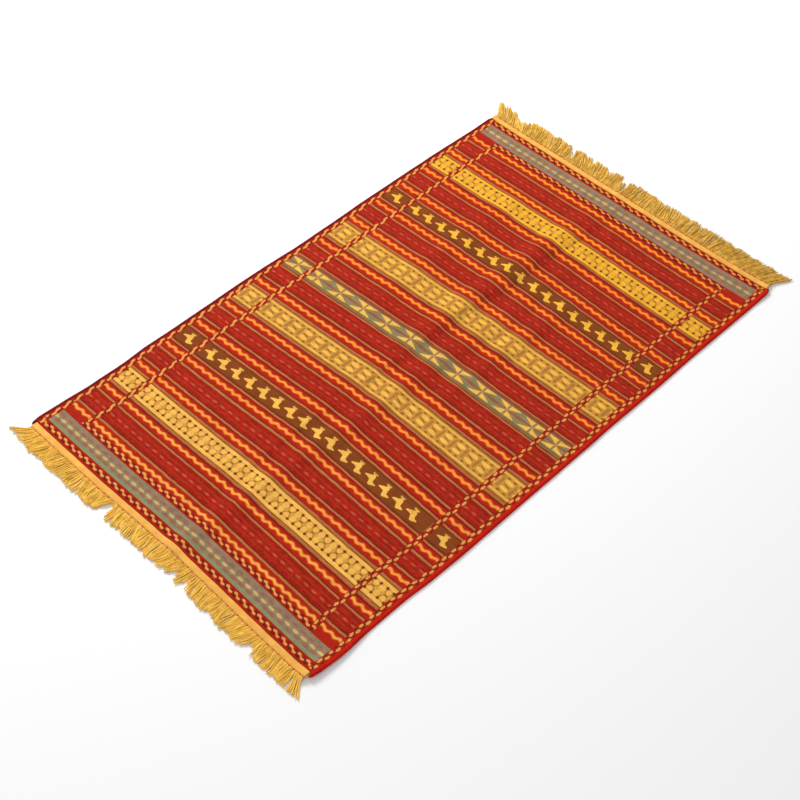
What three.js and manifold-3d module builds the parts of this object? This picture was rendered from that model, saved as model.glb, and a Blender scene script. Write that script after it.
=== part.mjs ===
// Flat-woven rug with cross bands, lying flat, its centre fold still showing. A tape is sewn
// across each short end and a fringe of twisted locks comes out of each tape.
// Millimetres, +Z up, X along the rug and Y across it. The origin is under the middle of the
// rug, on the surface it lies on.
import * as THREE from "three";
import Module from "manifold-3d";

const wasm = await Module();
wasm.setup();

// Driving dimensions
const cloth = { length: 1263, width: 762, thickness: 3.5, cornerRadius: 12 };
const tape = { width: 13.2, span: 744, edgeHeight: 3.5, crownHeight: 4.4, pieces: 66 };
const seamGap = 0.3;
const overallLength = 1378;
const fringe = { places: 124, span: 734, fanOut: 7, rootDepth: 3 };

// Cells of the cloth's grid, with the finer ones near the centre fold
const cellsAlong = 34;
const cellsAcross = 32;
const evenShare = 0.4;

// The crease of the centre fold crosses the rug on a slight slant
const crease = { offset: -7, slope: -0.0323 };

// Soft ridges along the rug. Each has its crest at a distance aside from the crease, or from
// the rug's centre line where it doesn't follow the crease, a half-width, and a height at
// each station along X.
const ridgeStations = [-640, -420, -210, 0, 100, 200, 300, 400, 520, 640];
const ridges = [
  { aside: 42, follows: 1, halfWidth: 42, heights: [1, 1.5, 1.5, 3, 5.5, 6.5, 8, 8, 3, 1] },
  { aside: -38, follows: 1, halfWidth: 38, heights: [5, 4.5, 4.5, 4, 3, 2, 1.5, 1.5, 1, 1] },
  { aside: 160, follows: 0, halfWidth: 52, heights: [0, 0, 0, 0, 2, 3.5, 3.5, 3, 0, 0] },
  { aside: -118, follows: 0, halfWidth: 34, heights: [0, 0, 0, 2.5, 3.5, 3.5, 2, 0, 0, 0] },
];

// Corners that lift off the surface, with how far the lift reaches along and across the rug
const liftedCorners = [
  { end: -1, side: -1, height: 5, along: 150, across: 44 },
  { end: 1, side: -1, height: 2.5, along: 70, across: 36 },
  { end: 1, side: 1, height: 2, along: 60, across: 30 },
];

// How far each long edge stands outside a straight line at each station along X
const edgeStations = [-631, -500, -420, -350, -280, -70, 60, 250, 400, 631];
const edgeWaves = {
  far: [1.5, -2.6, -3, -0.5, -0.5, 2, -0.6, 1, 0.4, -1],
  near: [1, -0.5, 0.5, 1.5, 2, 0, 0.5, -0.8, -1.8, -1.5],
};
const endWave = { height: 1.2, length: 520 };

// Sections of one fringe lock: where it is along the lock, the share of the tape's lift that
// is left there, and its width and height on the surface
const lockSections = [
  { along: 0, lift: 1, width: 3.2, height: 2.4, raised: 0.6 },
  { along: 0.28, lift: 0.42, width: 3.5, height: 2.9, raised: 0 },
  { along: 0.62, lift: 0, width: 3.5, height: 2.9, raised: 0 },
  { along: 1, lift: 0, width: 2.2, height: 1.9, raised: 0 },
];

// Each end's tape and fringe: the side of the origin it is on, the places across it where
// locks are worn away, and the phase of the sway of its locks
const ends = [
  { name: "near_tape_fringe", end: -1, phase: 0.6, worn: [[114, 139], [-60, -49], [-102, -95]] },
  { name: "far_tape_fringe", end: 1, phase: 2.1, worn: [[181, 195], [-90, -77]] },
];
const sways = [
  { height: 2.6, length: 74 },
  { height: 0.6, length: 31 },
];
const lengthVariation = { slow: 3, slowLength: 96, scattered: 7 };

const colours = { wool: 0xa8281c, gold: 0xe0ac4a };

// A value from 0 to 1 that looks unordered and is the same each time
function scatter(index) {
  const wave = Math.sin(index * 12.9898 + 4.1) * 43758.5453;
  return wave - Math.floor(wave);
}

// The value at x of a soft line through a table, level at each of its stations
function softLine(stations, values, x) {
  const next = stations.findIndex((station) => station > x);
  if (next < 0) return values[values.length - 1];
  if (next === 0) return values[0];
  const share = (x - stations[next - 1]) / (stations[next] - stations[next - 1]);
  const soft = share * share * (3 - 2 * share);
  return values[next - 1] + (values[next] - values[next - 1]) * soft;
}

// One rounded crest: 1 at its middle, 0 at its half-width and beyond
function crest(distance, halfWidth) {
  if (Math.abs(distance) >= halfWidth) return 0;
  return 0.5 + 0.5 * Math.cos((Math.PI * distance) / halfWidth);
}

// Height of the cloth's underside above the surface, from the ridges and lifted corners
function lift(x, y) {
  const creaseY = crease.offset + crease.slope * x;
  let height = 0;
  for (const ridge of ridges) {
    const distance = y - ridge.aside - ridge.follows * creaseY;
    height += softLine(ridgeStations, ridge.heights, x) * crest(distance, ridge.halfWidth);
  }
  for (const corner of liftedCorners) {
    const fromEnd = x - (corner.end * cloth.length) / 2;
    const fromSide = y - (corner.side * cloth.width) / 2;
    height += corner.height * crest(fromEnd, corner.along) * crest(fromSide, corner.across);
  }
  return height;
}

// Distance from the origin to the end of the cloth at y, for the end at -X or +X
function endReach(y, end) {
  return cloth.length / 2 + endWave.height * Math.sin((2 * Math.PI * y) / endWave.length + end);
}

// Stations from one edge to the other, evenly spaced or closer together at the middle, with
// extra ones inside the corner rounding
function gridStations(size, cells, even) {
  const half = size / 2;
  const inner = half - cloth.cornerRadius;
  const stations = [-half, -half + cloth.cornerRadius / 2];
  for (let index = 0; index <= cells; index++) {
    const share = (2 * index) / cells - 1;
    stations.push(inner * (even * share + (1 - even) * share ** 3));
  }
  stations.push(half - cloth.cornerRadius / 2, half);
  return stations;
}

// A point of the flat rectangle moved onto the rug's real outline: the corner squares are
// pressed into quarter circles, and the edges follow their waves
function outlinePoint(flatX, flatY) {
  const radius = cloth.cornerRadius;
  const a = Math.max(0, Math.abs(flatX) - cloth.length / 2 + radius) / radius;
  const b = Math.max(0, Math.abs(flatY) - cloth.width / 2 + radius) / radius;
  const end = Math.sign(flatX);
  const side = Math.sign(flatY);
  const pressedX = flatX - end * radius * a * (1 - Math.sqrt(1 - (b * b) / 2));
  const pressedY = flatY - side * radius * b * (1 - Math.sqrt(1 - (a * a) / 2));
  const wave = softLine(edgeStations, side > 0 ? edgeWaves.far : edgeWaves.near, flatX);
  const endShare = Math.abs(pressedX) / (cloth.length / 2);
  const sideShare = Math.abs(pressedY) / (cloth.width / 2);
  return {
    x: pressedX + end * endShare * (endReach(flatY, end) - cloth.length / 2),
    y: pressedY + side * sideShare * wave,
  };
}

// A closed solid from rings of points: each ring is joined to the next, and the two end rings
// are closed flat
function sweptSolid(rings) {
  const sides = rings[0].length;
  const triangles = [];
  for (let ring = 0; ring < rings.length - 1; ring++) {
    for (let side = 0; side < sides; side++) {
      const here = ring * sides + side;
      const beside = ring * sides + ((side + 1) % sides);
      triangles.push(here, beside, beside + sides);
      triangles.push(here, beside + sides, here + sides);
    }
  }
  const last = (rings.length - 1) * sides;
  for (let side = 1; side < sides - 1; side++) {
    triangles.push(0, side + 1, side);
    triangles.push(last, last + side, last + side + 1);
  }
  return { points: rings.flat(2), triangles };
}

// The woven cloth: an upper and a lower grid over the outline, joined round the rim
function clothSolid() {
  const xs = gridStations(cloth.length, cellsAlong, 1);
  const ys = gridStations(cloth.width, cellsAcross, evenShare);
  const rows = ys.length;
  const points = [];
  for (const height of [0, cloth.thickness]) {
    for (const flatX of xs) {
      for (const flatY of ys) {
        const { x, y } = outlinePoint(flatX, flatY);
        points.push(x, y, lift(x, y) + height);
      }
    }
  }
  const upper = xs.length * rows;
  const triangles = [];
  for (let i = 0; i < xs.length - 1; i++) {
    for (let j = 0; j < rows - 1; j++) {
      const a = i * rows + j;
      const b = a + rows;
      triangles.push(a, a + 1, b + 1, a, b + 1, b);
      triangles.push(upper + a, upper + b + 1, upper + a + 1, upper + a, upper + b, upper + b + 1);
    }
  }
  const rim = rimLoop(xs.length, rows);
  rim.forEach((here, index) => {
    const next = rim[(index + 1) % rim.length];
    triangles.push(here, next, upper + next, here, upper + next, upper + here);
  });
  return { points, triangles };
}

// Grid places round the rim, anticlockwise from above
function rimLoop(columns, rows) {
  const rim = [];
  for (let i = 0; i < columns - 1; i++) rim.push(i * rows);
  for (let j = 0; j < rows - 1; j++) rim.push((columns - 1) * rows + j);
  for (let i = columns - 1; i > 0; i--) rim.push(i * rows + rows - 1);
  for (let j = rows - 1; j > 0; j--) rim.push(j);
  return rim;
}

// The tape across one end: a low crowned section carried along Y, following the cloth's lift
function tapeSolid(end) {
  const section = [
    { out: 0, height: 0 },
    { out: 0, height: tape.edgeHeight },
    { out: tape.width / 2, height: tape.crownHeight },
    { out: tape.width, height: tape.edgeHeight },
    { out: tape.width, height: 0 },
  ];
  const rings = [];
  for (let index = 0; index <= tape.pieces; index++) {
    const y = end * tape.span * (index / tape.pieces - 0.5);
    const inner = endReach(y, end) + seamGap;
    rings.push(section.map((point) => {
      const x = end * (inner + point.out);
      return [x, y, lift(x, y) + point.height];
    }));
  }
  return sweptSolid(rings);
}

// The locks of one end that aren't worn away, each with its root, its length and the sideways
// sway of its tip
function lockPlaces({ end, phase, worn }) {
  const locks = [];
  for (let index = 0; index < fringe.places; index++) {
    const y = fringe.span * (index / (fringe.places - 1) - 0.5);
    if (worn.some(([from, to]) => y > from && y < to)) continue;
    const fan = fringe.fanOut * (y / (fringe.span / 2)) ** 9;
    const sway = sways.reduce(
      (sum, { height, length }) => sum + height * Math.sin((2 * Math.PI * y) / length + phase),
      fan,
    );
    const slow = Math.sin((2 * Math.PI * y) / lengthVariation.slowLength + phase);
    const spare = lengthVariation.slow * slow + lengthVariation.scattered * scatter(index + 200 * end);
    locks.push({ y, sway, spare });
  }
  const longest = Math.max(...locks.map((lock) => lock.spare));
  return locks.map((lock) => ({ ...lock, tip: overallLength / 2 - longest + lock.spare }));
}

// One lock: a three-sided yarn from inside the tape, down to the surface and along it
function lockSolid(lock, end) {
  const tapeEdge = endReach(lock.y, end) + seamGap + tape.width;
  const rootX = tapeEdge - fringe.rootDepth;
  const carried = lift(end * tapeEdge, lock.y);
  const rings = lockSections.map(({ along, lift: share, width, height, raised }) => {
    const x = end * (rootX + (lock.tip - rootX) * along);
    const y = lock.y + lock.sway * along ** 1.5;
    const z = carried * share + raised;
    return [
      [x, y + (end * width) / 2, z],
      [x, y - (end * width) / 2, z],
      [x, y, z + height],
    ].reverse();
  });
  return sweptSolid(rings);
}

function toManifold({ points, triangles }) {
  const vertProperties = new Float32Array(points);
  const triVerts = new Uint32Array(triangles);
  return new wasm.Manifold(new wasm.Mesh({ numProp: 3, vertProperties, triVerts }));
}

function toGeometry(points, triangles) {
  const geometry = new THREE.BufferGeometry();
  geometry.setAttribute("position", new THREE.Float32BufferAttribute(points, 3));
  geometry.setIndex(Array.from(triangles));
  geometry.computeVertexNormals();
  return geometry;
}

// A tape with its locks fused to it at their roots
function fringedTape(place) {
  let body = toManifold(tapeSolid(place.end));
  for (const lock of lockPlaces(place)) body = body.add(toManifold(lockSolid(lock, place.end)));
  const mesh = body.getMesh();
  return toGeometry(mesh.vertProperties, mesh.triVerts);
}

const woolMaterial = new THREE.MeshStandardMaterial({ color: colours.wool, roughness: 0.95, metalness: 0 });
const goldMaterial = new THREE.MeshStandardMaterial({ color: colours.gold, roughness: 0.85, metalness: 0 });

const rug = new THREE.Group();
const clothParts = clothSolid();
const clothMesh = new THREE.Mesh(toGeometry(clothParts.points, clothParts.triangles), woolMaterial);
clothMesh.name = "woven_cloth";
rug.add(clothMesh);
for (const place of ends) {
  const tapeMesh = new THREE.Mesh(fringedTape(place), goldMaterial);
  tapeMesh.name = place.name;
  rug.add(tapeMesh);
}

export default rug;
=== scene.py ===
"""Looks of a flat-woven banded rug that lies flat: the woven cloth with its cross bands and
rope borders, the tape and stitches across each short end, and the twisted yarn fringe.

Shapes are worked out in millimetres in the rug's own frame, X along it, Y across it and Z up
from the surface it lies on, and become metres when a mesh is made."""

import math

import bpy
import numpy as np
from bpy.props import FloatProperty, FloatVectorProperty, IntProperty, PointerProperty
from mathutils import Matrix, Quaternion, Vector


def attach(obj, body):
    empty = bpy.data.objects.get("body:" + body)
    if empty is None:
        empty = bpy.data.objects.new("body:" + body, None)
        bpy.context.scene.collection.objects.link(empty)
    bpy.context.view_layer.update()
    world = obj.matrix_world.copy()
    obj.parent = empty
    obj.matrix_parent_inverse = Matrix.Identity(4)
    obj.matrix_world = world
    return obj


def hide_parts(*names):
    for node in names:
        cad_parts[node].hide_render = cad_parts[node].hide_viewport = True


bl_info = {
    "name": "Banded Flat-Woven Rug",
    "version": (1, 0, 0),
    "blender": (4, 5, 0),
    "location": "3D View > Sidebar > Rug",
    "description": "Builds a flat-woven rug with patterned cross bands, end tapes and a fringe",
    "category": "Object",
}

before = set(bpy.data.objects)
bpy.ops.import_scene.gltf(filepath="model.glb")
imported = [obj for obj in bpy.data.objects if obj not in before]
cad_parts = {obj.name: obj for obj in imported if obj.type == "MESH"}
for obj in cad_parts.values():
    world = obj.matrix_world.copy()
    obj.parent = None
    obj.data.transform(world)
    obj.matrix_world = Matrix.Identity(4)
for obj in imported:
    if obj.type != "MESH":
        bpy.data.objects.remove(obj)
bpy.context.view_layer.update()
MM = 0.001

# The cloth, as in the part's source
LENGTH = 1263.0
WIDTH = 762.0
THICKNESS = 3.5
CORNER_RADIUS = 12.0
SEAM_GAP = 0.3

# The crease of the centre fold crosses the rug on a slight slant
CREASE_OFFSET = -7.0
CREASE_SLOPE = -0.0323

# Soft ridges along the rug: distance aside from the crease or from the rug's centre line,
# whether it follows the crease, half-width, and height at each station along X
RIDGE_STATIONS = (-640, -420, -210, 0, 100, 200, 300, 400, 520, 640)
RIDGES = (
    {"aside": 42, "follows": 1, "half": 42, "heights": (1, 1.5, 1.5, 3, 5.5, 6.5, 8, 8, 3, 1)},
    {"aside": -38, "follows": 1, "half": 38, "heights": (5, 4.5, 4.5, 4, 3, 2, 1.5, 1.5, 1, 1)},
    {"aside": 160, "follows": 0, "half": 52, "heights": (0, 0, 0, 0, 2, 3.5, 3.5, 3, 0, 0)},
    {"aside": -118, "follows": 0, "half": 34, "heights": (0, 0, 0, 2.5, 3.5, 3.5, 2, 0, 0, 0)},
)

# The sharp fold line beside the crease: where it lies across at stations along X, its height
# there, and its half-width
FOLD_STATIONS = (-640, -554, -354, -177, 59, 110, 180, 295, 531, 640)
FOLD_PLACES = (24, 24, 23, 20, 17, 15, 11, 5, -8, -12)
FOLD_HEIGHTS = (0.4, 0.9, 1.5, 1.3, 1.6, 1.8, 1.2, 1.2, 1.4, 1.4)
FOLD_HALF_WIDTH = 13.0

# The painted shade along the thin crease at the foot of the fold: where it lies across at the rug's
# middle, its slope, its half-width and softness, where along X it starts, and the length in which it
# comes in
FOOT_PLACE = 6.1
FOOT_SLOPE = -0.0503
FOOT_HALF = 0.9
FOOT_SOFTNESS = 1.8
FOOT_START = 28.0
FOOT_RUN_IN = 40.0

# Corners that lift off the surface
LIFTED_CORNERS = (
    {"end": -1, "side": -1, "height": 5, "along": 150, "across": 44},
    {"end": 1, "side": -1, "height": 2.5, "along": 70, "across": 36},
    {"end": 1, "side": 1, "height": 2, "along": 60, "across": 30},
)

# How far each long edge stands outside a straight line
EDGE_STATIONS = (-631, -570, -500, -430, -350, -280, -70, 60, 120, 250, 400, 631)
EDGE_WAVES = {
    1: (3.5, 1.2, -2.4, -2.6, 0.8, 0.4, 2.2, -1, -0.8, 1, 1, -3.5),
    -1: (2.4, 5.0, 1.2, 1.0, 4.8, 5.6, 3.7, 3.0, 1.6, 2.0, 0.4, 1.2),
}
# The rolled selvedge: where it starts across, its height, and how far the roll bulges out at -Y
ROLL_START = 374.5
ROLL_HEIGHT = 1.3
ROLL_BULGE = 1.8
END_WAVE_HEIGHT = 1.2
END_WAVE_LENGTH = 520.0

# The beat of the weave has left the bands curved: for bands at stations along X, how far each
# leads towards +X at the rug's centre line, and how far it trails from there to each long edge
BOW_STATIONS = (
    -631, -500, -440, -380, -320, -230, -170, -118, -60, 13,
    70, 170, 255, 350, 400, 443, 550, 600, 631,
)
BOW_LEADS = (3.5, 2.5, 2, 2.5, 7.5, 11, 8, 6.5, 7, 4, 2, 0, 3.5, 4.5, 0.5, -0.5, -0.6, -7.4, -7)
BOW_TRAILS = {
    1: (-0.5, 0.5, 3, 6, 13, 17, 16.5, 17, 19, 16, 13.5, 10, 8, 6.5, 4.5, 2.5, 0.5, -3.5, -3.5),
    -1: (8, 8, 5, 4, 11, 15, 11, 5, 3, -2.5, -2.5, -2, 7, 9.5, 5.5, 3.5, 1, -5.5, -5.5),
}
BOW_SOFTNESS = 30.0

# How far the red selvedge runs past the cloth's end at each corner: (end, side) and reach. The
# run starts softly along the selvedge and in a small step across it.
SELVEDGE_RUNS = {(-1, 1): 11.0, (-1, -1): 10.0, (1, -1): 4.0, (1, 1): 2.0}
RUN_SOFTNESS = 6.0
RUN_STEP = 2.0

# Where each band starts along X, up to the next one's start, what it is, and how far along Y
# its pattern is set off from the rug's centre line
BANDS = (
    (-631.5, "plain", 0), (-627.5, "end_rope", 10.3), (-614.5, "plain", 0), (-612.0, "grey", -8),
    (-577.0, "plain", 0), (-574.5, "inner_end_rope", 13.5), (-561.5, "zigzag", -7.5),
    (-547.0, "plain", 0), (-544.7, "tan", 0), (-535.8, "field", 5.5), (-499.8, "tan", 0),
    (-492.0, "zigzag", 3.5), (-469.0, "brown_line", 0), (-460.0, "dotted", 1),
    (-414.0, "brown_line", 0), (-405.6, "zigzag", -3.5), (-383.6, "tan", 0), (-375.5, "field", -3.5),
    (-341.5, "tan", 0), (-332.5, "zigzag", -4.5), (-310.5, "tan", 0), (-303.2, "birds", -10),
    (-261.3, "tan", 0), (-253.5, "zigzag", 1.5), (-229.4, "tan", 0), (-221.4, "field", 4),
    (-183.9, "tan", 0), (-175.3, "zigzag", -1), (-153.4, "brown_line", 0), (-145.2, "leaves", -1.5),
    (-92.1, "brown_line", 0), (-84.4, "zigzag", 3.5), (-60.4, "tan", 0), (-52.3, "field", -8),
    (-15.0, "tan", 0), (-8.3, "flowers", -30), (35.5, "tan", 0), (43.0, "field", 5.5),
    (77.0, "tan", 0), (84.6, "zigzag", 7), (108.0, "brown_line", 0), (115.7, "leaves", -4),
    (170.6, "brown_line", 0), (177.6, "zigzag", -5), (198.0, "tan", 0), (206.0, "field", 8.5),
    (237.0, "tan", 0), (245.0, "zigzag", 4.5), (266.7, "tan", 0), (274.2, "birds", -4),
    (312.9, "tan", 0), (320.0, "zigzag", 2.5), (342.0, "tan", 0), (349.5, "field", -8),
    (383.2, "tan", 0), (391.4, "zigzag", -2), (415.0, "brown_line", 0), (421.5, "dotted", -6.5),
    (465.5, "brown_line", 0), (473.0, "zigzag", 5), (492.0, "tan", 0), (500.0, "field", 4.5),
    (533.4, "tan", 0), (541.5, "zigzag", -6), (562.5, "inner_end_rope", 5.8), (578.0, "grey", -3.5),
    (614.5, "plain", 0), (617.0, "end_rope", 10.8), (630.3, "plain", 0), (631.5, None, 0),
)
# Repeats of the patterns along their bands
WEAVE_PITCH = 20.45
BIRD_PITCH = 35.95
LEAF_PITCH = 30.9
DOT_PITCH = 15.42
FLOWER_PITCH = 62.6

# The rope borders: the repeat, where it starts, how far each cream dash lies before or after the
# middle of its pair, the half-length of a dash, the half-width of the link between the two
# dashes of a pair, and the dark spots, by place across and along and half-sizes
ROPES = {
    "far_rope": {
        "pitch": 26.25, "shift": -5.0, "lag": 6.4, "half": 5.8, "link": 1.9, "shade": 0.88,
        "spots": ((-0.4, 13.1, 2.6, 3.4), (-3.8, 4.6, 1.5, 3.0), (3.6, -4.6, 1.5, 3.0)),
    },
    "near_rope": {
        "pitch": 24.65, "shift": 6.0, "lag": 6.15, "half": 5.7, "link": 0.0, "shade": 0.85,
        "spots": (
            (0.4, 0.0, 2.4, 2.4), (0.4, 12.3, 2.4, 2.4), (3.4, -6.2, 1.4, 3.2), (-3.6, 6.2, 1.2, 3.0),
        ),
    },
    "end_rope": {
        "pitch": 20.45, "shift": 0.0, "lag": 4.9, "half": 4.5, "link": 1.3, "shade": 0.86,
        "spots": ((-4.0, 5.2, 2.6, 4.0), (3.0, -6.0, 1.8, 3.0), (-0.6, 10.2, 1.4, 2.0)),
    },
}
# How far the two rows of dashes lie from the middle of their rope, how far a dash reaches beside
# its row, where the link ends across, and where the red beside the rope is darker
DASH_ROW = 2.2
DASH_REACH = 2.5
LINK_END = 2.3
ROPE_EDGE = 4.9
# How far along X the repeats of the outer and the inner side ropes are set off
OUTER_ROPE_STARTS = {"far_rope": -8.0, "near_rope": -1.0}
INNER_ROPE_STARTS = {"far_rope": -5.75, "near_rope": -1.5}

# Strips across the rug, from its centre line out to the edge
SIDE_STRIPS = (
    (0.0, "inner"), (301.3, "inner_rope"), (313.5, "side"), (362.5, "outer_rope"), (374.5, "selvedge"),
    (381.0, None),
)

# The width that a pattern is drawn for, in millimetres across its band, where it is stretched
# to the width of the band that it fills
DRAWN_WIDTHS = {
    "tan": 8.0, "brown_line": 8.0, "field": 35.0, "dotted": 45.0, "birds": 40.0, "leaves": 54.0,
    "flowers": 42.6, "grey": 36.0,
}
# How high the face of each kind of band stands over its sunken edges
BAND_SWELL = {
    "zigzag": 0.25, "tan": 0.4, "brown_line": 0.4, "field": 0.3, "dotted": 0.45, "birds": 0.4,
    "leaves": 0.5, "flowers": 0.45, "grey": 0.35, "rope": 0.45, "plain": 0.1,
}

COARSE_CELL = 8.6
ROUNDED_RIM = (0.0, 0.8, 2.6)

# Each end's tape and fringe: how much wider than usual its tape is, the length of its yarns, how
# far from the origin their tips may reach, how far the tips lie aside of the roots at stations
# along Y, and the notches in the outline, by place of the roots, half-width and share of the
# length that is lost
ENDS = (
    {
        "name": "near", "end": -1, "phase": 0.6, "wider": 2.2, "length": 37.5, "limit": 687.0,
        "stations": (
            -370, -340, -290, -245, -190, -135, -110, -80, -35, 0, 40, 75, 105, 135, 190, 240, 330, 370,
        ),
        "leans": (-18, -3, -4, 18, 2, 0, -8, 14, 17, -2, -6, -13, -4, 9, -8, 11, 13, 31),
        "notches": (
            (124, 10, 0.8), (-73, 8, 0.5), (-52, 13, 0.22), (-96, 8, 0.45), (-268, 9, 0.4),
            (337, 6, 0.12), (282, 8, 0.1), (86, 6, 0.12), (57, 6, 0.12), (-165, 8, 0.14), (18, 6, 0.08),
        ),
    },
    {
        "name": "far", "end": 1, "phase": 2.1, "wider": 0.0, "length": 50.5, "limit": 692.0,
        "stations": (-370, -290, -250, -200, -120, -60, 0, 60, 110, 160, 230, 300, 345, 370),
        "leans": (-22, -20, -15, -3, 9, 11, -4, 13, 20, 15, 16, 23, 27, 28),
        "notches": (
            (303, 24, 0.36), (164, 10, 0.32), (107, 9, 0.28), (63, 8, 0.2), (28, 9, 0.28),
            (-64, 8, 0.12), (-96, 8, 0.27), (-276, 7, 0.08),
        ),
    },
)
# How far along Y the tips may reach at each side
TIP_REACH = (-392.0, 400.0)
# How far the tapes, the stitches and the roots of the yarns reach to each side of the centre line
TAPE_HALF_SPAN = 374.2
STITCH_HALF_SPAN = 364
FRINGE_HALF_SPAN = 370
# How far inside the tape's outer edge the stitches and the roots of the yarns lie
STITCH_INSET = 1.4
ROOT_INSET = 1.6
# The pitch and height of the ribs across a tape, the width of the worn red seam at its outer edge,
# and the height of the fibres in a yarn
TAPE_RIB = 1.3
TAPE_RIB_HEIGHT = 0.12
SEAM_WIDTH = 3.6
FIBRE_HEIGHT = 0.4
TAPE_STATIONS = 300
# The length in which two plies turn once round each other and, as shares of the yarn's width, how
# far a ply lies off the yarn's middle, its reach, and the reach of a plain yarn of the lower layer
PLY_TURN = 8.5
PLY_OFFSET = 0.23
PLY_REACH = 0.29
LOWER_REACH = 0.62
LOWER_YARNS = 300
# How far a tip strays along Y, how far its yarn curls, and how high the yarns ripple
TIP_STRAY = 2.2
CURL_REACH = 2.3
RIPPLE_HEIGHT = 0.9
# Height of a stitch's ends over the tape's foot, how much it rises between them, and its reach
STITCH_LEVEL = 3.2
STITCH_RISE = 0.9
STITCH_REACH = 1.4
# Waves along the tape that draw the yarns into locks: how far they pull a tip aside, how long they
# are, and how many times the end's phase they start at
LOCK_WAVES = ((3.0, 33, 1), (1.7, 19.3, 2))
SEED = 47

# How far the cloth's face is let down, so that its relief lies on both sides of its level, and how
# far its underside rises at the rim
FACE_SINK = 0.35
RIM_RISE = 0.4

# The camera: where it stands and what it looks at in metres, how far it is rolled in degrees, and
# its lens and the width of its sensor in millimetres
CAMERA_PLACE = (-1.5586, -1.4284, 2.3288)
CAMERA_TARGET = (-0.1056, -0.0594, 0.0)
CAMERA_ROLL = 1.62
LENS = 72.86
SENSOR_WIDTH = 36.0
# The square lamps: name, place and side in metres, and power in watts
LIGHTS = (("key", (0.8, 2.7, 2.2), 1.3, 125.0), ("fill", (-2.6, -1.2, 2.8), 2.4, 20.0))
SKY_STRENGTH = 0.55
FLOOR_HALF = 6000.0
FLOOR_DROP = 0.3


def dye(red, green, blue):
    """A colour on the usual scale of 0 to 255 as scene-linear values: each part is divided by
    255 and put through the usual screen curve backwards."""
    share = np.array((red, green, blue)) / 255
    linear = np.where(share <= 0.04045, share / 12.92, ((share + 0.055) / 1.055) ** 2.4)
    return tuple(float(part) for part in linear)


def colour_setting(name, description, values):
    return FloatVectorProperty(
        name=name, description=description, default=dye(*values), subtype="COLOR", min=0, max=1,
    )


class RugDyes(bpy.types.PropertyGroup):
    """Colours of the wools."""

    red: colour_setting("Red", "Ground of the fields and zigzag bands", (171, 35, 17))
    scarlet: colour_setting("Scarlet", "Bright red of the -Y selvedge and the zigzags", (196, 26, 10))
    # Maroon is also the painted shade along the +Y selvedge
    maroon: colour_setting("Maroon", "Shaded red beside the stripes", (110, 16, 14))
    orange: colour_setting("Orange", "Zigzag line", (242, 130, 26))
    yellow: colour_setting("Yellow", "Bright yellow of the dotted and leaf bands", (242, 178, 44))
    amber: colour_setting("Amber", "Deeper yellow of the dotted bands", (238, 170, 30))
    gold: colour_setting("Gold", "Ground of the leaf bands", (194, 138, 60))
    tan: colour_setting("Tan", "Narrow stripes", (190, 116, 62))
    sand: colour_setting("Sand", "Wider stripes beside the yellow bands", (194, 120, 66))
    rose: colour_setting("Rose", "Dashes in the middle of the red fields", (176, 106, 76))
    brown: colour_setting("Brown", "Ground of the bird bands", (128, 64, 24))
    dark: colour_setting("Dark", "Dots and rope shadows", (72, 30, 24))
    grey: colour_setting("Grey", "End bands", (140, 122, 96))
    green: colour_setting("Green", "Edge of the end bands and the flower band", (134, 140, 98))
    cream: colour_setting("Cream", "Rope borders", (224, 156, 66))
    faded: colour_setting("Faded", "What the yellows fade towards at the near end", (240, 196, 128))
    tape: colour_setting("Tape", "Tape across each short end", (228, 164, 72))
    fringe: colour_setting("Fringe", "Fringe yarn", (254, 206, 92))
    umber: colour_setting("Umber", "Shaded parts of the fringe yarn", (194, 148, 54))
    seam: colour_setting("Seam", "Worn red of the seam between tape and fringe", (204, 116, 66))


class RugSizes(bpy.types.PropertyGroup):
    """Sizes of the small parts."""

    tape_width: FloatProperty(
        name="Tape Width", description="Width of the tape across each end",
        default=13.2 * MM, min=0.005, max=0.03, unit="LENGTH",
    )
    tape_height: FloatProperty(
        name="Tape Height", description="Height of the tape's crown",
        default=4.5 * MM, min=0.002, max=0.01, unit="LENGTH",
    )
    yarn_width: FloatProperty(
        name="Yarn Width", description="Width of one twisted fringe yarn",
        default=2.7 * MM, min=0.001, max=0.006, unit="LENGTH",
    )
    yarn_count: IntProperty(
        name="Yarns", description="Fringe yarns at each end", default=330, min=20, max=400,
    )
    stitch_pitch: FloatProperty(
        name="Stitch Pitch", description="Distance between the dark stitches beside the tape",
        default=13.4 * MM, min=0.004, max=0.03, unit="LENGTH",
    )


def soft_line(stations, values, x):
    """The value at x of a line through a table, level at each station: between two stations the
    share s is eased to s squared times three minus two s."""
    places = np.asarray(stations, float)
    heights = np.asarray(values, float)
    upper = np.clip(np.searchsorted(places, x, side="right"), 1, len(places) - 1)
    share = np.clip((x - places[upper - 1]) / (places[upper] - places[upper - 1]), 0, 1)
    eased = share * share * (3 - 2 * share)
    return heights[upper - 1] + (heights[upper] - heights[upper - 1]) * eased


def crest(distance, half_width):
    """One rounded crest: half of one plus the cosine of the distance, 0 past the half-width."""
    share = np.clip(np.abs(distance) / half_width, 0, 1)
    return 0.5 + 0.5 * np.cos(np.pi * share)


def lift(x, y):
    """Height of the cloth's underside: the sum of the ridges and the lifted corners."""
    crease = CREASE_OFFSET + CREASE_SLOPE * x
    height = np.zeros(np.broadcast(x, y).shape)
    for ridge in RIDGES:
        distance = y - ridge["aside"] - ridge["follows"] * crease
        height = height + soft_line(RIDGE_STATIONS, ridge["heights"], x) * crest(distance, ridge["half"])
    for corner in LIFTED_CORNERS:
        from_end = crest(x - corner["end"] * LENGTH / 2, corner["along"])
        from_side = crest(y - corner["side"] * WIDTH / 2, corner["across"])
        height = height + corner["height"] * from_end * from_side
    return height


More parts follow.
